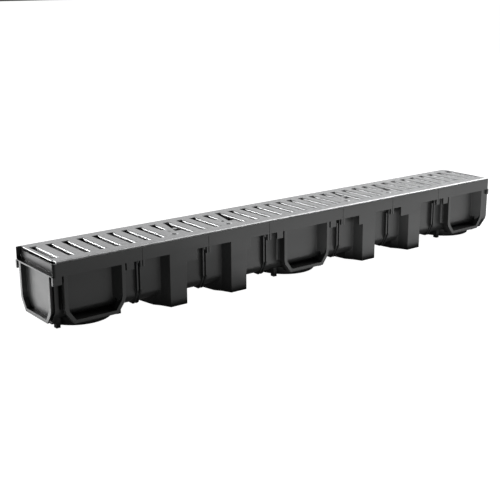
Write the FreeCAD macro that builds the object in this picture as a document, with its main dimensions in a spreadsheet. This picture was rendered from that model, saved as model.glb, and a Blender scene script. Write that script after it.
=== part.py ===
"""Linear drainage channel, 1 m long: a black plastic trough with a slotted steel grating.

X runs along the channel, Y across it, Z up.  The origin is at the middle of the feet's ground plane.
The near end of the channel is at -X, the front long side at -Y.  Millimetres.
"""
import FreeCAD, Part
import Sketcher
import math
import os
from FreeCAD import Vector, Placement, Rotation

doc = FreeCAD.newDocument("drainage_channel")

# ------------------------------------------------------------------ driving dimensions
SIZES = [
    # channel
    ("channel_len", 1000.0, "overall length"),
    ("channel_wid", 130.0, "overall width"),
    ("rim_top", 111.0, "height of the plastic rim"),
    ("band_low", 90.0, "lower edge of the rim band"),
    ("band_wall", 3.0, "thickness of the rim band"),
    ("shelf_top", 92.0, "seat of the grating"),
    ("corner_rad", 6.0, "rounding of the vertical outer corners"),
    ("trough_half", 47.0, "half width of the trough, outside"),
    ("trough_wall", 2.5, "wall of the trough"),
    ("trough_low", 14.0, "underside of the trough"),
    ("trough_rad", 17.0, "outer rounding of the trough's lower corners"),
    # U outline shared by the end rims, cut guides and side frames
    ("u_top", 53.0, "half width of the U outline under the band"),
    ("u_hip", 52.6, "half width of the U outline where its sides start to turn in"),
    ("u_hip_lvl", 36.0, "height of that place"),
    ("u_mid", 51.0, "half width of the U outline above its chamfer"),
    ("u_bot", 38.2, "half width of the U outline's flat bottom"),
    ("u_mid_lvl", 28.5, "height where the chamfer starts"),
    ("u_low_lvl", 11.0, "height of the flat bottom"),
    # ends
    ("end_depth", 9.0, "recess of the end panel"),
    ("end_panel", 2.5, "thickness of the end panels"),
    ("end_panel_top", 105.6, "top edge of the near end panel"),
    ("end_collar", 13.5, "length of the U collar at each end"),
    ("end_rim", 6.0, "width of the U collar's rim"),
    ("socket_grow", 8.3, "how much wider the far collar is, so that it takes a near one"),
    ("socket_room", 2.2, "clearance of the far collar round a near one"),
    ("socket_deep", 7.0, "depth of the far collar's socket"),
    ("end_groove_lo", 2.0, "start of the coupling groove"),
    ("end_groove_hi", 6.5, "end of the coupling groove"),
    ("end_groove_deep", 3.6, "depth of the coupling groove"),
    # side frames
    ("frame_pos", 429.1, "centre of the outer side frames from the middle"),
    ("frame_side", 5.6, "width of a side frame's vertical strips"),
    ("frame_web", 5.7, "height of a side frame's lower web"),
    ("frame_in_lvl", 36.0, "height where the inner chamfer starts"),
    # feet
    ("foot_a", 276.7, "centre of the outer feet"),
    ("foot_b", 153.7, "centre of the inner feet"),
    ("foot_wid", 32.0, "width of a foot's front face"),
    ("foot_splay", 0.42, "widening of a foot per unit of depth"),
    ("foot_flare", 0.68, "widening per unit of depth from the trough's side on"),
    ("foot_keel", 37.5, "half width of the cross block under the trough, at the centre line"),
    ("foot_deep", 30.0, "depth of a foot"),
    ("foot_skin", 2.5, "wall of a foot"),
    # hanging tabs
    ("tab_skin", 4.5, "thickness of the hanging tabs"),
    ("tab_low", 78.0, "lower edge of the hanging tabs"),
    ("foot_tab_low", 72.0, "lower edge of the tabs beside the feet"),
    ("corner_tab", 15.0, "width of the corner tabs"),
    # cut guides
    ("cut_a", 344.0, "outer cut line"),
    ("cut_b", 215.6, "middle cut line"),
    ("cut_c", 86.6, "inner cut line"),
    ("cut_gap", 1.7, "from a cut line to its rib"),
    ("cut_rib", 2.6, "thickness of a cut guide rib"),
    ("cut_tab", 8.0, "width of the tab on a cut line"),
    ("cut_slit", 1.5, "width of the slit in that tab"),
    ("cut_out", 53.0, "half width over the cut guide ribs"),
    ("cut_turn_lvl", 37.0, "height where the ribs turn under the trough"),
    ("cut_foot", 41.5, "half width of the ribs at their lower corner"),
    ("cut_foot_lvl", 13.5, "height of that lower corner"),
    ("cut_low_half", 37.0, "half width of the ribs' flat bottom"),
    ("cut_low", 10.5, "height of the ribs' flat bottom"),
    # outlets
    ("frame_shallow", 11.0, "depth of the side frames' lower webs"),
    ("frame_turn_lvl", 33.0, "height where the full-depth side webs end"),
    ("nook_rad", 4.5, "hollow rounding between trough and side web"),
    ("frame_slope", 9.5, "how far a side frame's inner sides slope in towards the trough"),
    ("spigot_rad", 55.0, "outer radius of the outlet spigots"),
    ("spigot_low", 1.5, "lower rim of the outlet spigots"),
    ("spigot_root", 58.0, "radius of the shoulder above a spigot"),
    ("skirt_rad", 62.0, "outer radius of the skirts beside a spigot"),
    ("skirt_wall", 2.5, "wall of those skirts"),
    ("skirt_low", 3.8, "lower edge of those skirts"),
    ("skirt_turn", 38.0, "half angle of a skirt"),
    ("leg_in", 49.9, "inner side of the small legs, from the frame centre"),
    ("leg_out", 57.0, "outer side of the small legs"),
    ("leg_front", 39.5, "front of the small legs, from the centre line"),
    ("leg_back", 31.0, "back of the small legs"),
    ("leg_low", 0.3, "lower end of the small legs"),
    ("spigot_wall", 2.5, "wall of an outlet spigot"),
    # grating
    ("grate_half", 60.0, "half width of the grating"),
    ("grate_top", 113.0, "top of the grating"),
    ("sheet_gauge", 1.25, "thickness of the steel sheet"),
    ("grate_fold", 3.0, "outer radius of the folded long edges"),
    ("grate_lo", -492.8, "near end of the grating"),
    ("grate_hi", 497.0, "far end of the grating"),
    ("slot_first", -480.7, "axis of the first slot"),
    ("slot_pitch", 27.6, "distance between slots"),
    ("slot_half", 4.5, "half width of a slot"),
    ("slot_reach", 40.0, "half length of a slot"),
    ("flap_drop", 6.5, "drop of the slot's flaps below the top"),
    ("flap_taper", 8.0, "run of the flaps' tapered ends"),
    ("roll_rad", 2.5, "outer radius of the slot's rolled edge"),
    ("half_slot_lo", 0.5, "front end of the short slots"),
    ("corner_notch", 2.4, "length of the corner notches at the near end of the grating"),
    ("corner_in", 49.0, "inner side of those notches"),
    ("lip_drop", 1.8, "height of the lip at the near end of the grating"),
    ("sector_out", 18.3, "reach of the lock opening beside its slot"),
    ("sector_low", -18.8, "straight front edge of the lock opening"),
    ("sector_top", 34.0, "rear corner of the lock opening"),
    ("pivot_y", -14.3, "lock pivot across the channel"),
    ("pivot_rad", 3.0, "radius of the lock pivot hole"),
    ("bead_y", -31.5, "raised bead in front of each lock pivot"),
    ("bead_rad", 6.5, "radius of the raised bead"),
    ("bead_rise", 1.1, "height of the raised bead"),
    # latch and rivet
    ("latch_low", 102.5, "underside of the latch plate"),
    ("latch_gauge", 3.0, "thickness of the latch plate"),
    ("latch_hub", 9.0, "radius of the latch's hub"),
    ("latch_bore", 3.05, "radius of the latch's bore"),
    ("nose_wid", 10.0, "width of the latch's nose"),
    ("nose_tip", 63.2, "reach of the nose from the middle of the channel"),
    ("finger_turn", 36.0, "direction of the latch's finger, degrees"),
    ("finger_wid", 7.4, "width of the latch's finger"),
    ("pad_in", 20.5, "inner edge of the finger's pad"),
    ("pad_out", 28.5, "outer edge of the finger's pad"),
    ("pad_top", 111.9, "top of the finger's pad"),
    ("shoulder_rad", 5.5, "radius of the rivet's shoulder"),
    ("head_rad", 5.5, "radius of the rivet's lower head"),
    ("head_low", 100.9, "underside of the rivet's lower head"),
]

sheet = doc.addObject("Spreadsheet::Sheet", "sizes")
for row, (alias, value, note) in enumerate(SIZES, start=1):
    sheet.set("A%d" % row, note)
    sheet.set("B%d" % row, str(value))
    sheet.setAlias("B%d" % row, alias)
doc.recompute()


class Size(float):
    """A length from the sheet, or arithmetic on such lengths: a number that keeps its formula."""

    def __new__(cls, value, formula):
        obj = float.__new__(cls, value)
        obj.formula = formula
        return obj

    def __add__(self, other):
        return Size(float(self) + float(other), "(%s + %s)" % (formula(self), formula(other)))

    def __radd__(self, other):
        return Size(float(other) + float(self), "(%s + %s)" % (formula(other), formula(self)))

    def __sub__(self, other):
        return Size(float(self) - float(other), "(%s - %s)" % (formula(self), formula(other)))

    def __rsub__(self, other):
        return Size(float(other) - float(self), "(%s - %s)" % (formula(other), formula(self)))

    def __mul__(self, other):
        return Size(float(self) * float(other), "(%s * %s)" % (formula(self), formula(other)))

    __rmul__ = __mul__

    def __truediv__(self, other):
        return Size(float(self) / float(other), "(%s / %s)" % (formula(self), formula(other)))

    def __neg__(self):
        return Size(-float(self), "(0 - %s)" % formula(self))


def formula(x):
    return x.formula if isinstance(x, Size) else "%.6f" % float(x)


def cell(alias):
    return Size(float(sheet.get(alias)), "sizes." + alias)


def bind(obj, prop, x):
    """Sets a property and ties it to its formula."""
    if isinstance(x, Size):
        obj.setExpression(prop, x.formula)


def place(obj, x, y, z, rot=None):
    obj.Placement = Placement(Vector(float(x), float(y), float(z)), rot or Rotation())
    bind(obj, "Placement.Base.x", x)
    bind(obj, "Placement.Base.y", y)
    bind(obj, "Placement.Base.z", z)
    return obj


def box(name, x0, x1, y0, y1, z0, z1):
    b = doc.addObject("Part::Box", name)
    for prop, lo, hi in (("Length", x0, x1), ("Width", y0, y1), ("Height", z0, z1)):
        setattr(b, prop, float(hi) - float(lo))
        bind(b, prop, hi - lo if isinstance(hi, Size) or isinstance(lo, Size) else None)
    return place(b, x0, y0, z0)


def cylinder(name, x, y, z0, z1, r):
    c = doc.addObject("Part::Cylinder", name)
    c.Radius = float(r)
    c.Height = float(z1) - float(z0)
    bind(c, "Radius", r)
    bind(c, "Height", z1 - z0 if isinstance(z1, Size) or isinstance(z0, Size) else None)
    return place(c, x, y, z0)


def pin_point(sk, geo, pos, x, y):
    """Ties a sketch point to the sketch origin by its two coordinates."""
    for kind, value, axis in (("DistanceX", x, -2), ("DistanceY", y, -1)):
        if abs(float(value)) < 1e-9:
            sk.addConstraint(Sketcher.Constraint("PointOnObject", geo, pos, axis))
        else:
            n = sk.addConstraint(Sketcher.Constraint(kind, -1, 1, geo, pos, float(value)))
            bind(sk, "Constraints[%d]" % n, value)


def draw(sk, points):
    """Closed outline of straight edges through (x, y) points, each tied to the sheet."""
    first = len(sk.Geometry)
    count = len(points)
    for i, (x, y) in enumerate(points):
        x2, y2 = points[(i + 1) % count]
        sk.addGeometry(Part.LineSegment(Vector(float(x), float(y), 0), Vector(float(x2), float(y2), 0)))
    for i in range(count):
        sk.addConstraint(Sketcher.Constraint("Coincident", first + i, 2, first + (i + 1) % count, 1))
    for i, (x, y) in enumerate(points):
        pin_point(sk, first + i, 1, x, y)


TURN_YZ = Rotation(0.5, 0.5, 0.5, 0.5)              # sketch X, Y -> world Y, Z; pushed along +X
TURN_XZ = Rotation(Vector(1, 0, 0), 90)             # sketch X, Y -> world X, Z; pushed along -Y


def prism(name, plane, points, lo, hi):
    """A straight-edged outline in the plane YZ, XZ or XY, filled from lo to hi along the third axis."""
    sk = doc.addObject("Sketcher::SketchObject", name + "_outline")
    draw(sk, points)
    if plane == "YZ":
        place(sk, lo, 0, 0, TURN_YZ)
        way = Vector(1, 0, 0)
    elif plane == "XZ":
        place(sk, 0, lo, 0, TURN_XZ)
        way = Vector(0, 1, 0)
    else:
        place(sk, 0, 0, lo)
        way = Vector(0, 0, 1)
    e = doc.addObject("Part::Extrusion", name)
    e.Base = sk
    e.DirMode = "Custom"
    e.Dir = way
    e.Solid = True
    e.LengthFwd = float(hi) - float(lo)
    bind(e, "LengthFwd", hi - lo if isinstance(hi, Size) or isinstance(lo, Size) else None)
    return e


def fuse(name, shapes):
    f = doc.addObject("Part::MultiFuse", name)
    f.Shapes = shapes
    f.Refine = True
    return f


def cut(name, base, tool):
    c = doc.addObject("Part::Cut", name)
    c.Base = base
    c.Tool = tool
    c.Refine = True
    return c


def mirror(name, source, normal):
    m = doc.addObject("Part::Mirroring", name)
    m.Source = source
    m.Base = Vector(0, 0, 0)
    m.Normal = normal
    return m


# ================================================================== channel body
half_len = cell("channel_len") / 2
half_wid = cell("channel_wid") / 2
rim_top, band_low, shelf_top = cell("rim_top"), cell("band_low"), cell("shelf_top")
band_wall = cell("band_wall")
front = -half_wid
near, far = -half_len, half_len
trough_half, trough_wall, trough_low = cell("trough_half"), cell("trough_wall"), cell("trough_low")
u_low = cell("u_low_lvl")


def rib_outline(top):
    """The outline of a cut guide rib: upright sides, then a long chamfer under the trough."""
    w, f, b = cell("cut_out"), cell("cut_foot"), cell("cut_low_half")
    turn, foot_lvl, low = cell("cut_turn_lvl"), cell("cut_foot_lvl"), cell("cut_low")
    return [(-w, top), (-w, turn), (-f, foot_lvl), (-b, low), (b, low), (f, foot_lvl), (w, turn), (w, top)]


def u_outline(centre, grow, top, side=0.0, low=0.0):
    """The U outline about a centre line: straight flaring sides, chamfered lower corners, flat bottom.
    grow widens it all round, side and low take a strip off its sides and its bottom."""
    t = cell("u_top") + grow - side
    h = cell("u_hip") + grow - side
    m = cell("u_mid") + grow - side
    b = cell("u_bot") + grow - side * 0.6
    zh, zm, zl = cell("u_hip_lvl") + low * 0.6, cell("u_mid_lvl") + low * 0.5, u_low + low
    return [(centre - t, top), (centre - h, zh), (centre - m, zm), (centre - b, zl),
            (centre + b, zl), (centre + m, zm), (centre + h, zh), (centre + t, top)]


# rim band: a block with rounded upright corners, hollowed below
band_block = box("band_block", near, far, front, half_wid, band_low, rim_top)
doc.recompute()
band = doc.addObject("Part::Fillet", "band")
band.Base = band_block
upright = [i + 1 for i, e in enumerate(band_block.Shape.Edges)
           if abs(e.Vertexes[0].Z - e.Vertexes[1].Z) > 1.0]
band.Edges = [(i, float(cell("corner_rad")), float(cell("corner_rad"))) for i in upright]

# trough: a block with rounded lower long edges
trough_block = box("trough_block", near + cell("end_depth"), far, -trough_half, trough_half, trough_low, band_low)
doc.recompute()
trough = doc.addObject("Part::Fillet", "trough")
trough.Base = trough_block
lower = [i + 1 for i, e in enumerate(trough_block.Shape.Edges)
         if abs(e.Vertexes[0].X - e.Vertexes[1].X) > 10.0
         and abs(e.Vertexes[0].Z - float(trough_low)) < 1e-6]
trough.Edges = [(i, float(cell("trough_rad")), float(cell("trough_rad"))) for i in lower]

# U collars at both ends
collar_near = prism("collar_near", "YZ", u_outline(0, 0, band_low), near, near + cell("end_collar"))
collar_far = prism("collar_far", "YZ", u_outline(0, cell("socket_grow"), band_low, 0.0, -5.0),
                   far - cell("end_collar"), far)

collar_step = prism("collar_step", "YZ", u_outline(0, 0.8, band_low, 0.0, -2.5), near + cell("end_groove_hi"),
                    near + cell("end_collar"))

# side frames: a U-shaped rim flush with the front, its webs running back to the trough
frame_blocks = []
frame_pockets = []
for tag, pos in (("a", -cell("frame_pos")), ("b", Size(0.0, "0"))):
    t, m = cell("u_top"), cell("u_hip") - 0.4
    turn = cell("frame_turn_lvl")
    frame_blocks.append(prism("frame_" + tag, "XZ", u_outline(pos, 0, band_low), front,
                              front + cell("frame_shallow")))
    frame_blocks.append(prism("frame_web_" + tag, "XZ",
                              [(pos - t, band_low), (pos - m, turn), (pos + m, turn), (pos + t, band_low)],
                              front, -trough_half + 2.0))
    nook = cell("nook_rad")
    for end, sign in (("lo", -1.0), ("hi", 1.0)):
        edge, root = pos + t * sign, pos + (t - 3.4) * sign
        outer = edge + nook * sign
        lo, hi = (outer, root) if sign < 0 else (root, outer)
        block = box("nook_block_%s_%s" % (tag, end), lo, hi, -trough_half - nook, -trough_half + 1.0, turn, band_low)
        hole = cylinder("nook_hole_%s_%s" % (tag, end), outer, -trough_half - nook, turn - 1.0, band_low + 1.0, nook)
        frame_blocks.append(cut("nook_%s_%s" % (tag, end), block, hole))
        inner_x, outer_x = pos + cell("leg_in") * sign, pos + cell("leg_out") * sign
        lo, hi = (outer_x, inner_x) if sign < 0 else (inner_x, outer_x)
        frame_blocks.append(box("leg_%s_%s" % (tag, end), lo, hi, -cell("leg_front"), -cell("leg_back"),
                                cell("leg_low"), trough_low + 8.0))
        # a thin wall set back in the side of the frame closes the gap below the full-depth web
        c = [cell("u_hip") - 5.0, cell("u_hip") - 2.6, cell("u_mid") - 2.6, cell("u_bot") - 1.6, cell("u_bot") - 4.0,
             cell("u_mid") - 5.0]
        z = [turn + 1.0, turn + 1.0, cell("u_mid_lvl"), u_low + 0.5, u_low + 0.5, cell("u_mid_lvl")]
        frame_blocks.append(prism("cheek_%s_%s" % (tag, end), "XZ",
                                  [(pos + a * sign, b) for a, b in zip(c, z)],
                                  front + cell("frame_shallow") - 1.0, -trough_half + cell("trough_rad")))
    frame_blocks.append(box("frame_floor_" + tag, pos - cell("u_bot"), pos + cell("u_bot"),
                            front, front + 40.0, u_low, u_low + cell("frame_web")))
    straight_pocket = prism("frame_pocket_straight_" + tag, "XZ",
                            u_outline(pos, 0, band_low - 0.5, cell("frame_side"), cell("frame_web")),
                            front - 1.0, -trough_half)
    # the inner sides of the frame slope in towards the trough
    inside = t - cell("frame_side")
    slopes = []
    for end, sign in (("lo", -1.0), ("hi", 1.0)):
        slopes.append(prism("frame_slope_%s_%s" % (tag, end), "XY",
                            [(pos + inside * sign, front), (pos + (inside + 3.0) * sign, front),
                             (pos + (inside + 3.0) * sign, -trough_half + 1.0),
                             (pos + (inside - cell("frame_slope")) * sign, -trough_half + 1.0)],
                            u_low, band_low))
    frame_pockets.append(cut("frame_pocket_" + tag, straight_pocket, fuse("frame_slopes_" + tag, slopes)))

# feet: splayed in plan, front face flush with the band, standing on the ground
foot_half, splay, foot_deep = cell("foot_wid") / 2, cell("foot_splay"), cell("foot_deep")
feet, foot_hollows = [], []
skin = cell("foot_skin")
flare, keel = cell("foot_flare"), cell("foot_keel")
bend_y = -trough_half
for tag, pos in (("a", -cell("foot_a")), ("b", -cell("foot_b"))):
    at_bend = foot_half + splay * (half_wid - trough_half)
    wide = at_bend + flare * (foot_deep - half_wid + trough_half)
    feet.append(prism("foot_" + tag, "XY",
                      [(pos - foot_half, front), (pos + foot_half, front), (pos + at_bend, bend_y),
                       (pos + wide, front + foot_deep), (pos - wide, front + foot_deep), (pos - at_bend, bend_y)],
                      Size(0.0, "0"), band_low))
    # under the trough the foot runs on to the one at the rear
    feet.append(prism("foot_cross_" + tag, "XY",
                      [(pos - wide, front + foot_deep - 0.5), (pos + wide, front + foot_deep - 0.5),
                       (pos + keel, Size(0.0, "0")), (pos - keel, Size(0.0, "0"))],
                      Size(0.0, "0"), trough_low + 1.0))
    deep = half_wid - trough_half - skin
    foot_hollows.append(prism("foot_hollow_" + tag, "XY",
                              [(pos - foot_half + skin, front + skin), (pos + foot_half - skin, front + skin),
                               (pos + at_bend - skin, bend_y), (pos - at_bend + skin, bend_y)],
                              Size(-1.0, "-1"), band_low - 4.0))
    foot_hollows.append(prism("foot_core_" + tag, "XY",
                              [(pos - at_bend + skin + 0.8, bend_y - 0.5), (pos + at_bend - skin - 0.8, bend_y - 0.5),
                               (pos + wide - skin - 0.8, front + foot_deep), (pos + keel - skin, Size(0.5, "0.5")),
                               (pos - keel + skin, Size(0.5, "0.5")), (pos - wide + skin + 0.8, front + foot_deep)],
                              Size(-1.0, "-1"), trough_low - skin))

# hanging tabs on the front plane
tab_back = front + cell("tab_skin")
tabs = [
    box("tab_frame_a", -cell("frame_pos") + 56.2, -cell("frame_pos") + 69.5, front, tab_back,
        cell("tab_low"), band_low),
    box("tab_frame_b", Size(-69.5, "-69.5"), Size(-56.2, "-56.2"), front, tab_back, cell("tab_low"), band_low),
    box("tab_foot_a", -cell("foot_a") + foot_half, -cell("foot_a") + foot_half + 21.7, front, tab_back,
        cell("foot_tab_low"), band_low),
    box("tab_foot_b", -cell("foot_b") + foot_half, -cell("foot_b") + foot_half + 10.0, front, tab_back,
        cell("foot_tab_low"), band_low),
]

# corner tabs: wide ones at the near end, narrow ones at the far end
corner_front = fuse("corner_tabs_front", [
    box("tab_near", near, near + cell("corner_tab"), front, tab_back, cell("tab_low") - 1.0, band_low),
    box("tab_far", far - 5.8, far - 1.0, front + 0.2, tab_back, cell("tab_low") + 1.0, band_low)])
corner_rear = mirror("corner_tabs_rear", corner_front, Vector(0, 1, 0))

# cut guides: on each cut line two ribs that wrap the trough, and a slit tab on the front plane
ribs, slits, band_lines = [], [], []
for tag in ("a", "b", "c"):
    line = -cell("cut_" + tag)
    for end, sign in (("lo", -1.0), ("hi", 1.0)):
        inner = line + cell("cut_gap") * sign
        outer = line + (cell("cut_gap") + cell("cut_rib")) * sign
        lo, hi = (outer, inner) if sign < 0 else (inner, outer)
        ribs.append(prism("cut_rib_%s_%s" % (tag, end), "YZ",
                          rib_outline(band_low - (3.6 if sign < 0 else 10.0)), lo, hi))
    half_tab, half_slit = cell("cut_tab") / 2, cell("cut_slit") / 2
    tabs.append(box("cut_tab_" + tag, line - half_tab, line + half_tab, front, tab_back,
                    cell("tab_low") + 1.0, band_low))
    slits.append(box("cut_slit_" + tag, line - half_slit, line + half_slit, front - 1.0, tab_back + 1.0,
                     cell("tab_low") - 1.0, band_low))
    band_lines.append(box("band_line_" + tag, line - 0.5, line + 0.5, front - 1.0, front + 0.5,
                          band_low - 1.0, rim_top + 1.0))

# outlet spigots under the side frames
spigots, spigot_cores = [], []
for tag, pos in (("a", -cell("frame_pos")), ("b", Size(0.0, "0"))):
    ring = cylinder("spigot_ring_" + tag, pos, Size(0.0, "0"), cell("spigot_low"), trough_low + 2.0,
                    cell("spigot_rad"))
    shoulder = cylinder("spigot_shoulder_" + tag, pos, Size(0.0, "0"), u_low, trough_low + 2.0,
                        cell("spigot_root"))
    pieces = [ring, shoulder]
    for end, start in (("lo", 180.0), ("hi", 0.0)):
        wedge = cylinder("skirt_wedge_%s_%s" % (tag, end), pos, Size(0.0, "0"), cell("skirt_low"),
                         trough_low + 2.0, cell("skirt_rad"))
        wedge.Angle = 2.0 * float(cell("skirt_turn"))
        wedge.setExpression("Angle", "2 * sizes.skirt_turn")
        wedge.Placement = Placement(wedge.Placement.Base,
                                    Rotation(Vector(0, 0, 1), start - float(cell("skirt_turn"))))
        core = cylinder("skirt_core_%s_%s" % (tag, end), pos, Size(0.0, "0"), cell("skirt_low") - 1.0,
                        trough_low + 3.0, cell("skirt_rad") - cell("skirt_wall"))
        pieces.append(cut("skirt_%s_%s" % (tag, end), wedge, core))
    spigots.append(fuse("spigot_" + tag, pieces))
    spigot_cores.append(cylinder("spigot_core_" + tag, pos, Size(0.0, "0"), Size(-1.0, "-1"), trough_low,
                                 cell("spigot_rad") - cell("spigot_wall")))

half = len(frame_blocks) // 2
quarter = fuse("quarter", frame_blocks[:half] + feet + tabs)
quarter_x = mirror("quarter_x", quarter, Vector(1, 0, 0))
front_set = fuse("front_set", [quarter, quarter_x] + frame_blocks[half:])
rear_set = mirror("rear_set", front_set, Vector(0, 1, 0))
rib_set = fuse("rib_set", ribs)
rib_set_x = mirror("rib_set_x", rib_set, Vector(1, 0, 0))
spigot_x = mirror("spigot_x", spigots[0], Vector(1, 0, 0))
solid = fuse("channel_solid", [band, trough, collar_near, collar_step, collar_far, corner_front, corner_rear, front_set, rear_set, rib_set, rib_set_x,
                               spigots[0], spigots[1], spigot_x])

# what is hollow
inner_block = box("inner_block", near + cell("end_depth") + cell("end_panel"),
                  far - cell("end_depth") - cell("end_panel"),
                  -trough_half + trough_wall, trough_half - trough_wall,
                  trough_low + trough_wall, rim_top + 5.0)
doc.recompute()
inner = doc.addObject("Part::Fillet", "inner")
inner.Base = inner_block
inner_low = [i + 1 for i, e in enumerate(inner_block.Shape.Edges)
             if abs(e.Vertexes[0].X - e.Vertexes[1].X) > 10.0
             and abs(e.Vertexes[0].Z - float(trough_low + trough_wall)) < 1e-6]
inner_rad = float(cell("trough_rad") - trough_wall)
inner.Edges = [(i, inner_rad, inner_rad) for i in inner_low]

seat = box("seat", near + cell("end_depth") + cell("end_panel"), far - cell("end_panel"),
           front + band_wall, half_wid - band_wall, shelf_top, rim_top + 5.0)
end_open = box("end_open", near - 1.0, near + cell("end_depth"), front + band_wall, half_wid - band_wall,
               shelf_top - 0.5, rim_top + 5.0)
end_over = box("end_over", near + cell("end_depth") - 1.0, near + cell("end_depth") + cell("end_panel") + 1.0,
               front + band_wall, half_wid - band_wall, cell("end_panel_top"), rim_top + 5.0)
# the end panel stops short of the grating's folded edges
seat_corners = [
    box("seat_corner_front", near + cell("end_depth") - 1.0, near + cell("end_depth") + cell("end_panel") + 1.0,
        front + band_wall, -cell("grate_half") + 2.5, shelf_top, rim_top + 5.0),
    box("seat_corner_rear", near + cell("end_depth") - 1.0, near + cell("end_depth") + cell("end_panel") + 1.0,
        cell("grate_half") - 2.5, half_wid - band_wall, shelf_top, rim_top + 5.0),
]
end_recess = prism("end_recess", "YZ",
                   u_outline(0, 0, band_low - 1.0, cell("end_rim"), cell("end_rim") - 0.5),
                   near - 1.0, near + cell("end_depth"))
far_recess = prism("far_recess", "YZ",
                   u_outline(0, 0, band_low - 1.0, cell("end_rim"), cell("end_rim") - 0.5),
                   far - cell("end_depth"), far + 1.0)
far_socket = prism("far_socket", "YZ", u_outline(0, cell("socket_room"), band_low - 1.0, 0.0, -1.5),
                   far - cell("socket_deep"), far + 1.0)
# coupling groove round the near collar
groove_block = box("groove_block", near + cell("end_groove_lo"), near + cell("end_groove_hi"),
                   front + 8.0, half_wid - 8.0, Size(0.0, "0"), band_low)
groove_core = prism("groove_core", "YZ",
                    u_outline(0, 0, band_low + 1.0, cell("end_groove_deep"), cell("end_groove_deep")),
                    near, near + 12.0)
groove = cut("end_groove", groove_block, groove_core)

front_cuts = fuse("front_cuts", [frame_pockets[0]] + foot_hollows + slits + band_lines)
front_cuts_x = mirror("front_cuts_x", front_cuts, Vector(1, 0, 0))
front_cuts_all = fuse("front_cuts_all", [front_cuts, front_cuts_x, frame_pockets[1]])
rear_cuts_all = mirror("rear_cuts_all", front_cuts_all, Vector(0, 1, 0))
spigot_core_x = mirror("spigot_core_x", spigot_cores[0], Vector(1, 0, 0))

# recesses inside the front wall for the latch noses
pitch, first_slot = cell("slot_pitch"), cell("slot_first")
pockets = []
for n, tag in ((9, "left"), (23, "right")):
    px = first_slot + pitch * (n - 1)
    pockets.append(box("nose_recess_" + tag, px - 13.5, px + 6.0, front + band_wall - 1.6, front + band_wall + 1.0,
                       cell("latch_low") - 1.0, cell("latch_low") + cell("latch_gauge") + 1.0))

hollow = fuse("hollow", [inner, seat, end_open, end_over, end_recess, far_recess, far_socket, groove, front_cuts_all,
                         rear_cuts_all, spigot_cores[0], spigot_cores[1], spigot_core_x] + pockets + seat_corners)
channel_body = cut("channel_body", solid, hollow)
channel_body.Label = "channel_body"

# ================================================================== grating
grate = doc.addObject("PartDesign::Body", "folded_sheet")
grate.Label = "folded_sheet"


def origin_plane(body, role):
    return [f for f in body.Origin.OriginFeatures if f.Role == role][0]


def body_sketch(body, name, role, offset=None):
    """A sketch on one of the body's origin planes, moved along that plane's normal by offset."""
    sk = body.newObject("Sketcher::SketchObject", name)
    sk.AttachmentSupport = [(origin_plane(body, role), "")]
    sk.MapMode = "FlatFace"
    if offset is not None:
        sk.AttachmentOffset = Placement(Vector(0, 0, float(offset)), Rotation())
        bind(sk, "AttachmentOffset.Base.z", offset)
    return sk


def volume(body):
    doc.recompute()
    return body.Shape.Volume


gh, gt, gauge = cell("grate_half"), cell("grate_top"), cell("sheet_gauge")
fold = cell("grate_fold")
g_lo, g_hi = cell("grate_lo"), cell("grate_hi")
slot_half, reach, drop = cell("slot_half"), cell("slot_reach"), cell("flap_drop")

# folded sheet: outer block, rounded long edges, hollowed from below
blank_sk = body_sketch(grate, "blank_outline", "XY_Plane", shelf_top)
draw(blank_sk, [(g_lo, -gh), (g_hi, -gh), (g_hi, gh), (g_lo, gh)])
blank = grate.newObject("PartDesign::Pad", "blank")
blank.Profile = blank_sk
blank.Length = float(gt - shelf_top)
bind(blank, "Length", gt - shelf_top)
doc.recompute()


def long_edges(shape, y, z):
    return ["Edge%d" % (i + 1) for i, e in enumerate(shape.Edges)
            if all(abs(abs(v.Y) - y) < 1e-6 and abs(v.Z - z) < 1e-6 for v in e.Vertexes)
            and abs(e.Vertexes[0].X - e.Vertexes[-1].X) > 100.0]


fold_out = grate.newObject("PartDesign::Fillet", "fold_outside")
fold_out.Base = (blank, long_edges(blank.Shape, float(gh), float(gt)))
fold_out.Radius = float(fold)
bind(fold_out, "Radius", fold)
doc.recompute()

under_sk = body_sketch(grate, "under_outline", "XY_Plane", shelf_top)
draw(under_sk, [(g_lo - 1.0, -gh + gauge), (g_hi + 1.0, -gh + gauge), (g_hi + 1.0, gh - gauge), (g_lo - 1.0, gh - gauge)])
under = grate.newObject("PartDesign::Pocket", "under")
under.Profile = under_sk
under.Length = float(gt - gauge - shelf_top)
bind(under, "Length", gt - gauge - shelf_top)
before = blank.Shape.Volume
under.Reversed = True
if volume(grate) > 0.5 * before:
    under.Reversed = False
if volume(grate) > 0.5 * before:
    raise RuntimeError("the sheet wasn't hollowed")

fold_in = grate.newObject("PartDesign::Fillet", "fold_inside")
fold_in.Base = (under, long_edges(under.Shape, float(gh - gauge), float(gt - gauge)))
fold_in.Radius = float(fold - gauge)
bind(fold_in, "Radius", fold - gauge)
doc.recompute()


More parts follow.
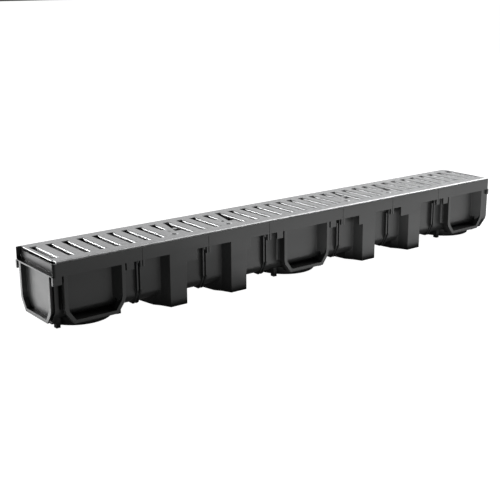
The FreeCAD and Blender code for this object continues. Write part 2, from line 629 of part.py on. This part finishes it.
# one slot: the hole punched in the sheet, and the flaps rolled down along its sides
def slot_unit(tag, lo, hi):
    """A slot on X = 0 from lo to hi: its pair of rolled flaps with sloping ends, and the hole they stand in."""
    roll = cell("roll_rad")
    sides = []
    for side, sign in (("near", -1.0), ("far", 1.0)):
        edge, root = slot_half * sign, (slot_half + roll + 0.5) * sign
        a, b = (root, edge) if sign < 0 else (edge, root)
        block = box("flap_block_%s_%s" % (tag, side), a, b, lo, hi, gt - drop, gt)
        doc.recompute()
        rolled = doc.addObject("Part::Fillet", "flap_rolled_%s_%s" % (tag, side))
        rolled.Base = block
        rolled.Edges = [(i + 1, float(roll), float(roll)) for i, e in enumerate(block.Shape.Edges)
                        if all(abs(v.X - float(edge)) < 1e-6 and abs(v.Z - float(gt)) < 1e-6 for v in e.Vertexes)]
        edge, root = (slot_half + gauge) * sign, (slot_half + roll + 1.0) * sign
        a, b = (root, edge) if sign < 0 else (edge, root)
        below = box("flap_below_%s_%s" % (tag, side), a, b, lo - 1.0, hi + 1.0, gt - drop - 1.0, gt - gauge)
        sides.append(cut("flap_%s_%s" % (tag, side), rolled, below))
    run = cell("flap_taper")
    z0, z1 = gt - drop - 1.0, gt - gauge
    half = slot_half + gauge + 1.0
    rear = prism("flaps_rear_" + tag, "YZ", [(hi + 3.0, z0), (hi + 3.0, z1), (hi + 0.2, z1),
                                             (hi - run, gt - drop), (hi - run, z0)], -half, half)
    fore = prism("flaps_fore_" + tag, "YZ", [(lo - 3.0, z0), (lo + run, z0), (lo + run, gt - drop),
                                             (lo - 0.2, z1), (lo - 3.0, z1)], -half, half)
    flaps = cut("flaps_" + tag, fuse("flap_pair_" + tag, sides), fuse("flap_ends_" + tag, [rear, fore]))
    hole = box("slot_hole_" + tag, -slot_half - roll, slot_half + roll, lo, hi, gt - gauge - 1.0, gt + 1.0)
    return flaps, hole


flaps_full, slot_full = slot_unit("full", -reach, reach)
flaps_short, slot_short = slot_unit("short", cell("half_slot_lo"), reach)
# at the near end of the sheet the first slot's outer flap is only a lip, and the corners are notched
end_lip = box("end_lip", g_lo - 1.0, first_slot - slot_half + 1.5, -reach - gauge - 0.5, reach + gauge + 0.5,
              gt - drop - 1.0, gt - cell("lip_drop"))
corner_lo = box("corner_lo", g_lo - 1.0, g_lo + cell("corner_notch"), -gh - 1.0, -cell("corner_in"), shelf_top + 6.0, gt + 1.0)
corner_hi = box("corner_hi", g_lo - 1.0, g_lo + cell("corner_notch"), cell("corner_in"), gh + 1.0, shelf_top + 6.0, gt + 1.0)

# lock place, about the axis of its short slot: pivot hole, raised bead, widened opening in the next slot
LOCKS = [9, 13, 23, 27]                 # short slots, counted from the near end
LATCHED = [("left", 9), ("right", 23)]  # the places that carry a latch
sector = prism("sector", "XY", [(pitch - slot_half + 1.0, cell("sector_top") + 1.0),
                                (pitch - slot_half - 1.4, cell("sector_top")),
                                (pitch - cell("sector_out"), cell("sector_low")),
                                (pitch - slot_half + 1.0, cell("sector_low"))],
               gt - drop - 1.0, gt + 1.0)
pivot_hole = cylinder("pivot_hole", Size(0.0, "0"), cell("pivot_y"), gt - 4.0, gt + 1.0, cell("pivot_rad"))
bead = doc.addObject("Part::Cone", "bead")
bead.Radius1 = float(cell("bead_rad"))
bead.Radius2 = float(cell("bead_rad")) - 1.6
bead.Height = float(cell("bead_rise")) + 0.5
bind(bead, "Radius1", cell("bead_rad"))
bind(bead, "Radius2", cell("bead_rad") - 1.6)
bind(bead, "Height", cell("bead_rise") + 0.5)
place(bead, Size(0.0, "0"), cell("bead_y"), gt - 0.5)
dimple = cylinder("dimple", Size(0.0, "0"), cell("bead_y"), gt - 3.0, gt - gauge + cell("bead_rise") * 0.8,
                  cell("bead_rad") - 2.2)
window = box("window", Size(-22.5, "-22.5"), Size(6.5, "6.5"), -gh - 1.0, -gh + gauge + 1.0,
             cell("latch_low") - 1.0, cell("latch_low") + cell("latch_gauge") + 1.0)
doc.recompute()


def row_of(name, items):
    """Copies of unit shapes, each moved along X to its slot, as one compound."""
    shapes = []
    for unit, numbers in items:
        for n in numbers:
            copy = unit.Shape.copy()
            copy.translate(Vector(float(first_slot) + float(pitch) * (n - 1), 0, 0))
            shapes.append(copy)
    f = doc.addObject("Part::Feature", name)
    f.Shape = Part.makeCompound(shapes)
    return f


full = [n for n in range(1, 37) if n not in LOCKS]
latched = [n for tag, n in LATCHED]
slotted = cut("slotted_sheet", grate, row_of("slot_row", [(slot_full, full), (slot_short, LOCKS)]))
pressed = fuse("pressed_sheet", [slotted, row_of("flap_row", [(flaps_full, full), (flaps_short, LOCKS), (bead, LOCKS)])])
lock_row = row_of("lock_row", [(sector, LOCKS), (pivot_hole, LOCKS), (dimple, LOCKS), (window, latched)])
pierced = cut("pierced_sheet", pressed, lock_row)
grating = cut("grating", pierced, fuse("end_cuts", [end_lip, corner_lo, corner_hi]))
grating.Label = "grating"
doc.recompute()
print("grating:", grating.State)

# ================================================================== latches and rivets
latch_low, latch_gauge = cell("latch_low"), cell("latch_gauge")
latch_top = latch_low + latch_gauge
py = cell("pivot_y")
rivets = []
latches = []
for tag, n in (("left", 9), ("right", 23)):
    px = first_slot + pitch * (n - 1)
    hub = cylinder("latch_hub_" + tag, px, py, latch_low, latch_top, cell("latch_hub"))
    nose = box("latch_nose_" + tag, px - cell("nose_wid") / 2, px + cell("nose_wid") / 2,
               -cell("nose_tip"), py, latch_low, latch_top)
    turn = Rotation(Vector(0, 0, 1), float(cell("finger_turn")))

    def finger(name, r0, r1, z0, z1):
        b = doc.addObject("Part::Box", name)
        b.Length = float(r1) - float(r0)
        b.Width = float(cell("finger_wid"))
        b.Height = float(z1) - float(z0)
        bind(b, "Length", r1 - r0)
        bind(b, "Width", cell("finger_wid"))
        bind(b, "Height", z1 - z0)
        c, s = math.cos(math.radians(float(cell("finger_turn")))), math.sin(math.radians(float(cell("finger_turn"))))
        half = cell("finger_wid") / 2
        place(b, px + r0 * c + half * s, py + r0 * s - half * c, z0, turn)
        return b

    arm = finger("latch_arm_" + tag, Size(0.0, "0"), cell("pad_out") - 1.0, latch_low, latch_top)
    leg = finger("latch_leg_" + tag, cell("pad_out") - 4.0, cell("pad_out") - 1.0, latch_top, cell("pad_top") - 2.0)
    pad = finger("latch_pad_" + tag, cell("pad_in"), cell("pad_out"), cell("pad_top") - 2.0, cell("pad_top"))
    solid_latch = fuse("latch_solid_" + tag, [hub, nose, arm, leg, pad])
    bore = cylinder("latch_bore_" + tag, px, py, latch_low - 1.0, latch_top + 1.0, cell("latch_bore"))
    latch = cut("latch_" + tag, solid_latch, bore)
    latch.Label = "latch_" + tag
    latches.append(latch)
    head = cylinder("rivet_head_" + tag, px, py, cell("head_low"), latch_low - 0.1, cell("head_rad"))
    shank = cylinder("rivet_shank_" + tag, px, py, cell("head_low"), gt - 0.3, cell("pivot_rad"))
    shoulder = cylinder("rivet_shoulder_" + tag, px, py, latch_top + 0.1, gt - gauge, cell("shoulder_rad"))
    rivets.append(fuse("rivet_" + tag, [head, shank, shoulder]))

lock_rivets = doc.addObject("Part::Compound", "lock_rivets")
lock_rivets.Links = rivets
lock_rivets.Label = "lock_rivets"

# ================================================================== check and write
doc.recompute()
for obj in doc.Objects:
    if "Invalid" in obj.State or "Error" in obj.State:
        raise RuntimeError("%s failed: %s" % (obj.Name, obj.State))
os.makedirs("parts", exist_ok=True)
for obj in [channel_body, grating, lock_rivets] + latches:
    shape = obj.Shape
    if shape.isNull() or not shape.isValid():
        raise RuntimeError(obj.Label + " has no valid shape")
    print("%-14s solids %d  faces %4d  volume %10.0f  box %s" % (
        obj.Label, len(shape.Solids), len(shape.Faces), shape.Volume, shape.BoundBox))
    shape.exportStep("parts/%s.step" % obj.Label)
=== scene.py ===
"""Looks for the drainage channel: materials, light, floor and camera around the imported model."""
import bpy
import math
from mathutils import Matrix, Vector

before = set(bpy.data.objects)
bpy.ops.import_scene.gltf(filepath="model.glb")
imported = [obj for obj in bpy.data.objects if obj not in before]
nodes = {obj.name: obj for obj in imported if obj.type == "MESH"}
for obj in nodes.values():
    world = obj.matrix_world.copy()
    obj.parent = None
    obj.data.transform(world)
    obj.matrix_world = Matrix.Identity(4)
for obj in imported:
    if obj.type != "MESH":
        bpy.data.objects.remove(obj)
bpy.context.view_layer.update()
scene = bpy.context.scene


# ------------------------------------------------------------------ node helpers
class Graph:
    """A small helper for building a material's node tree."""

    def __init__(self, name):
        self.mat = bpy.data.materials.new(name)
        self.mat.use_nodes = True
        self.tree = self.mat.node_tree
        self.tree.nodes.clear()
        self.out = self.add("ShaderNodeOutputMaterial")
        self.bsdf = self.add("ShaderNodeBsdfPrincipled")
        self.link(self.bsdf.outputs[0], self.out.inputs["Surface"])
        self.coord = self.add("ShaderNodeTexCoord").outputs["Object"]

    def add(self, kind, **values):
        n = self.tree.nodes.new(kind)
        for key, value in values.items():
            if hasattr(n, key):
                setattr(n, key, value)
            else:
                n.inputs[key.replace("_", " ")].default_value = value
        return n

    def link(self, a, b):
        self.tree.links.new(a, b)

    def scaled(self, sx, sy, sz):
        m = self.add("ShaderNodeMapping")
        m.inputs["Scale"].default_value = (sx, sy, sz)
        self.link(self.coord, m.inputs["Vector"])
        return m.outputs[0]

    def noise(self, scale, detail=4.0, rough=0.5, distort=0.0, vector=None):
        n = self.add("ShaderNodeTexNoise")
        n.inputs["Scale"].default_value = scale
        n.inputs["Detail"].default_value = detail
        n.inputs["Roughness"].default_value = rough
        n.inputs["Distortion"].default_value = distort
        self.link(vector or self.coord, n.inputs["Vector"])
        return n.outputs["Fac"]

    def voronoi(self, scale, feature="F1", output="Distance", vector=None, randomness=1.0):
        n = self.add("ShaderNodeTexVoronoi")
        n.feature = feature
        n.inputs["Scale"].default_value = scale
        n.inputs["Randomness"].default_value = randomness
        self.link(vector or self.coord, n.inputs["Vector"])
        return n.outputs[output]

    def ramp(self, fac, stops):
        n = self.add("ShaderNodeValToRGB")
        while len(n.color_ramp.elements) < len(stops):
            n.color_ramp.elements.new(0.5)
        for el, (pos, col) in zip(n.color_ramp.elements, stops):
            el.position = pos
            el.color = (*col, 1.0) if len(col) == 3 else (col[0], col[0], col[0], 1.0)
        self.link(fac, n.inputs["Fac"])
        return n.outputs["Color"]

    def math(self, op, a, b=None, c=None, clamp=False):
        n = self.add("ShaderNodeMath")
        n.operation = op
        n.use_clamp = clamp
        for i, v in enumerate((a, b, c)):
            if v is None:
                continue
            if isinstance(v, (int, float)):
                n.inputs[i].default_value = v
            else:
                self.link(v, n.inputs[i])
        return n.outputs[0]

    def mix(self, fac, a, b, blend="MIX"):
        n = self.add("ShaderNodeMix")
        n.data_type = "RGBA"
        n.blend_type = blend
        if isinstance(fac, (int, float)):
            n.inputs[0].default_value = fac
        else:
            self.link(fac, n.inputs[0])
        for sock, v in ((n.inputs[6], a), (n.inputs[7], b)):
            if isinstance(v, tuple):
                sock.default_value = (*v, 1.0)
            else:
                self.link(v, sock)
        return n.outputs[2]

    def range(self, value, a, b, c, d):
        n = self.add("ShaderNodeMapRange")
        for key, v in (("From Min", a), ("From Max", b), ("To Min", c), ("To Max", d)):
            n.inputs[key].default_value = v
        self.link(value, n.inputs["Value"])
        return n.outputs[0]

    def bump(self, height, strength, distance, normal=None):
        n = self.add("ShaderNodeBump")
        n.inputs["Strength"].default_value = strength
        n.inputs["Distance"].default_value = distance
        self.link(height, n.inputs["Height"])
        if normal is not None:
            self.link(normal, n.inputs["Normal"])
        return n.outputs[0]

    def edges(self, distance, samples=4):
        """1 on sharp edges, 0 on flats: the bevel normal leaves the true normal there."""
        b = self.add("ShaderNodeBevel")
        b.samples = samples
        b.inputs["Radius"].default_value = distance
        g = self.add("ShaderNodeNewGeometry")
        d = self.add("ShaderNodeVectorMath")
        d.operation = "DOT_PRODUCT"
        self.link(b.outputs[0], d.inputs[0])
        self.link(g.outputs["Normal"], d.inputs[1])
        return self.math("SUBTRACT", 1.0, d.outputs["Value"], clamp=True), b.outputs[0]


# ------------------------------------------------------------------ black moulded plastic
def black_plastic():
    g = Graph("black_plastic")
    b = g.bsdf
    b.inputs["IOR"].default_value = 1.49
    b.inputs["Specular IOR Level"].default_value = 0.38
    broad = g.noise(9.0, 3.0, 0.55)
    flow = g.noise(14.0, 4.0, 0.6, 0.4, g.scaled(0.25, 1.0, 2.2))
    fine = g.noise(900.0, 2.0, 0.6)
    dust = g.noise(60.0, 6.0, 0.7)
    base = g.ramp(broad, [(0.3, (0.015, 0.0157, 0.0155)), (0.7, (0.021, 0.0217, 0.0214))])
    base = g.mix(g.range(dust, 0.62, 0.8, 0.0, 0.35), base, (0.034, 0.0335, 0.033))
    g.link(base, b.inputs["Base Color"])
    rough = g.math("ADD", g.range(flow, 0.3, 0.7, 0.35, 0.44), g.range(fine, 0.3, 0.7, -0.02, 0.03))
    g.link(rough, b.inputs["Roughness"])
    soft = g.add("ShaderNodeBevel")
    soft.samples = 6
    soft.inputs["Radius"].default_value = 0.0008
    n1 = g.bump(fine, 0.18, 0.00012, soft.outputs[0])
    n2 = g.bump(g.noise(35.0, 2.0, 0.5, 0.2), 0.10, 0.0006, n1)
    g.link(n2, b.inputs["Normal"])
    return g.mat


# ------------------------------------------------------------------ hot-dip galvanised sheet
def galvanised():
    g = Graph("galvanised_sheet")
    b = g.bsdf
    b.inputs["Metallic"].default_value = 1.0
    warp = g.add("ShaderNodeVectorMath")
    warp.operation = "MULTIPLY_ADD"
    wn = g.add("ShaderNodeTexNoise")
    wn.inputs["Scale"].default_value = 90.0
    wn.inputs["Detail"].default_value = 2.0
    g.link(g.coord, wn.inputs["Vector"])
    g.link(wn.outputs["Color"], warp.inputs[0])
    warp.inputs[1].default_value = (0.006, 0.006, 0.006)
    g.link(g.coord, warp.inputs[2])
    cells = g.voronoi(150.0, "F1", "Color", warp.outputs[0])
    cell_value = g.add("ShaderNodeSeparateColor")
    g.link(cells, cell_value.inputs[0])
    spangle = cell_value.outputs[0]
    broad = g.noise(11.0, 4.0, 0.6)
    grain = g.noise(700.0, 3.0, 0.6)
    base = g.ramp(g.math("ADD", g.math("MULTIPLY", spangle, 0.55), g.math("MULTIPLY", broad, 0.45)),
                  [(0.25, (0.50, 0.505, 0.51)), (0.75, (0.68, 0.685, 0.69))])
    base = g.mix(g.range(grain, 0.60, 0.75, 0.0, 0.25), base, (0.40, 0.40, 0.405))
    g.link(base, b.inputs["Base Color"])
    rough = g.math("ADD", g.range(spangle, 0.0, 1.0, 0.36, 0.50), g.range(grain, 0.3, 0.7, -0.03, 0.04))
    g.link(rough, b.inputs["Roughness"])
    n1 = g.bump(spangle, 0.10, 0.0002)
    n2 = g.bump(grain, 0.12, 0.0001, n1)
    g.link(n2, b.inputs["Normal"])
    return g.mat


# ------------------------------------------------------------------ zinc-plated latch and rivet
def plated(name, tone, rough):
    g = Graph(name)
    b = g.bsdf
    b.inputs["Metallic"].default_value = 1.0
    brushed = g.noise(220.0, 4.0, 0.6, 0.0, g.scaled(1.0, 0.08, 1.0))
    patch = g.noise(45.0, 4.0, 0.6)
    g.link(g.ramp(patch, [(0.3, tuple(v * 0.85 for v in tone)), (0.7, tone)]), b.inputs["Base Color"])
    g.link(g.math("ADD", g.range(brushed, 0.3, 0.7, rough - 0.06, rough + 0.06), g.range(patch, 0.3, 0.7, -0.03, 0.03)),
           b.inputs["Roughness"])
    g.link(g.bump(brushed, 0.15, 0.0001), b.inputs["Normal"])
    return g.mat


def dress(name, mat):
    o = nodes[name]
    o.data.materials.clear()
    o.data.materials.append(mat)
    for p in o.data.polygons:
        p.material_index = 0


dress("channel_body", black_plastic())
dress("grating", galvanised())
latch_mat = plated("plated_latch", (0.66, 0.66, 0.655), 0.38)
dress("latch_left", latch_mat)
dress("latch_right", latch_mat)
dress("lock_rivets", plated("plated_rivet", (0.45, 0.45, 0.45), 0.42))

# ------------------------------------------------------------------ floor: a pale table lit from within
bpy.ops.mesh.primitive_plane_add(size=40.0, location=(0, 0, 0))
floor = bpy.context.object
floor.name = "floor"
fg = Graph("floor")
fg.bsdf.inputs["Roughness"].default_value = 0.95
fg.bsdf.inputs["Specular IOR Level"].default_value = 0.1
fg.link(fg.ramp(fg.noise(1.5, 3.0), [(0.3, (0.30, 0.30, 0.30)), (0.7, (0.32, 0.32, 0.32))]), fg.bsdf.inputs["Base Color"])
fg.bsdf.inputs["Emission Color"].default_value = (1.0, 1.0, 1.0, 1.0)
fg.bsdf.inputs["Emission Strength"].default_value = 1.0
floor.data.materials.append(fg.mat)
floor.visible_diffuse = False
floor.visible_glossy = False

# ------------------------------------------------------------------ light
scene.view_settings.view_transform = "Standard"
scene.view_settings.look = "None"
world = bpy.data.worlds.new("studio")
scene.world = world
world.use_nodes = True
world.node_tree.nodes["Background"].inputs[0].default_value = (1.0, 1.0, 1.0, 1.0)
world.node_tree.nodes["Background"].inputs[1].default_value = 0.08


def aim(obj, where, at):
    obj.location = where
    obj.rotation_mode = "QUATERNION"
    obj.rotation_quaternion = (Vector(at) - Vector(where)).to_track_quat("-Z", "Y")


def panel(name, where, at, width, height, radiance):
    """A soft box whose surface has the given radiance, whatever its size."""
    d = bpy.data.lights.new(name, "AREA")
    d.shape = "RECTANGLE"
    d.size, d.size_y = width, height
    d.energy = radiance * math.pi * width * height
    o = bpy.data.objects.new(name, d)
    scene.collection.objects.link(o)
    aim(o, where, at)
    o.visible_camera = False
    return o


def card(name, x0, x1, y0, y1, radiance):
    """A bright card that lies on the floor beside the object and shines up at it."""
    o = panel(name, ((x0 + x1) / 2, (y0 + y1) / 2, 0.003), (0.0, 0.0, 0.0), x1 - x0, y1 - y0, radiance)
    o.rotation_quaternion = (0.0, 1.0, 0.0, 0.0)
    return o


panel("key", (-1.75, 2.0, 0.6), (-0.4, 0.0, 0.1), 0.45, 0.45, 26.0)
panel("backdrop", (1.5, 3.6, 1.2), (0.3, 0.0, 0.2), 9.5, 2.2, 0.8)
panel("end_fill", (-2.1, 1.7, 0.2), (-0.5, 0.0, 0.05), 1.6, 0.36, 2.2)
panel("bend", (1.6, -0.4, 1.15), (0.45, 0.0, 0.1), 0.6, 0.6, 11.0)
panel("overhead", (1.15, 0.1, 1.75), (0.0, 0.0, 0.1), 1.6, 1.2, 2.0)
panel("rolls", (-1.05, 2.1, 0.85), (-0.4, 0.0, 0.1), 1.2, 0.5, 3.5)
card("card_right", -0.10, 1.70, -1.28, -0.08, 2.3)
card("card_left", -0.52, -0.10, -1.28, -0.08, 0.95)
card("card_end", -1.40, -0.51, -0.04, 0.80, 4.1)

# ------------------------------------------------------------------ camera
cam = bpy.data.objects.new("camera", bpy.data.cameras.new("camera"))
scene.collection.objects.link(cam)
right = Vector((0.7920997, -0.6103563, -0.0065768))
up = Vector((0.1602764, 0.1975804, 0.9670954))
back = Vector((-0.5889733, -0.7670900, 0.2543291))
turn = Matrix((right, up, back)).transposed()
cam.matrix_world = Matrix.Translation((-1.1141782, -1.3514312, 0.5242108)) @ turn.to_4x4()
cam.data.sensor_width = 36.0
cam.data.lens = 36.0 * 980.482 / 500.0
cam.data.shift_x = (250.0 - 251.327) / 500.0
cam.data.shift_y = (233.315 - 250.0) / 500.0
cam.data.clip_start = 0.05
cam.data.clip_end = 100.0
scene.camera = cam
